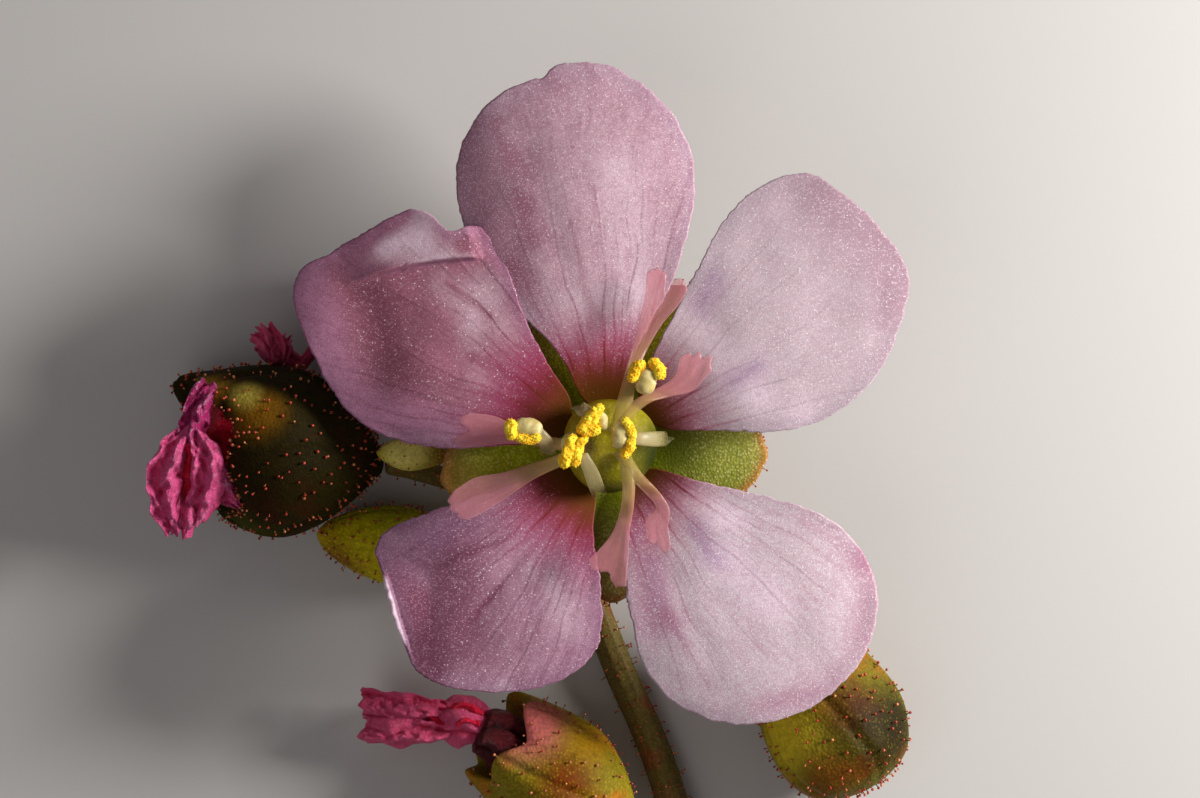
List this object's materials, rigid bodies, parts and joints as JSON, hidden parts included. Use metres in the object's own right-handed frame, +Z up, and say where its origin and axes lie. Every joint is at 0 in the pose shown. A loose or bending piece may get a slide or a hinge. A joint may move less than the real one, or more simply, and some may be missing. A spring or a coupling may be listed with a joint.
{
  "type": "sundew flower stalk",
  "caption": "Cut tip of a sundew flower stalk lying down: an open pink five-petalled flower facing up, with spent flowers, closed glandular calyces and buds on a curled stalk.",
  "frame": {"origin": "on the surface that the stalk lies on, at the flat of the stalk's underside below the open flower's axis", "axes": "+Z up, the way the open flower faces; +Y from the cut end towards the open flower's top petal"},
  "size_m": [0.0262, 0.0357, 0.0085],
  "materials": {
    "stalk": "olive brown plant stem, finely hairy, satin",
    "sepals": "yellow-green, fine glistening bumps, satin",
    "calyx_dark": "dark green with red glands, satin",
    "calyx_olive": "yellow olive flushed orange with red glands, satin",
    "petals": "pale pink, veined, crimson at the claw, sparkling papillae",
    "withered_petals": "crumpled magenta, silky",
    "ovary": "glossy yellow-green, faint bumps",
    "styles": "translucent cream, pink at the fans",
    "filaments": "translucent cream",
    "pollen": "bright yellow, granular",
    "buds": "pale olive green, satin"
  },
  "bodies": {
    "root": {"stalk": "stalk", "bloom_calyx": "sepals", "petal_top": "petals", "petal_upper_right": "petals", "petal_lower_right": "petals", "petal_lower_left": "petals", "petal_left": "petals", "ovary": "ovary", "style_upper": "styles", "style_left": "styles", "style_lower": "styles", "filament_upper_left": "filaments", "anther_upper_left": "pollen", "filament_lower_left": "filaments", "anther_lower_left": "pollen", "filament_right": "filaments", "anther_right": "pollen", "filament_left": "filaments", "anther_left": "pollen", "filament_upper_right": "filaments", "anther_upper_right": "pollen", "spent_left_calyx": "calyx_dark", "spent_left_corolla": "withered_petals", "spent_behind_calyx": "calyx_dark", "spent_behind_corolla": "withered_petals", "spent_bottom_calyx": "calyx_olive", "spent_bottom_corolla": "withered_petals", "closed_left_calyx": "calyx_olive", "closed_right_calyx": "calyx_olive", "bud_small": "buds", "bud_tip_first": "buds", "bud_tip_second": "buds", "bud_tip_third": "buds"}
  },
  "joints": []
}
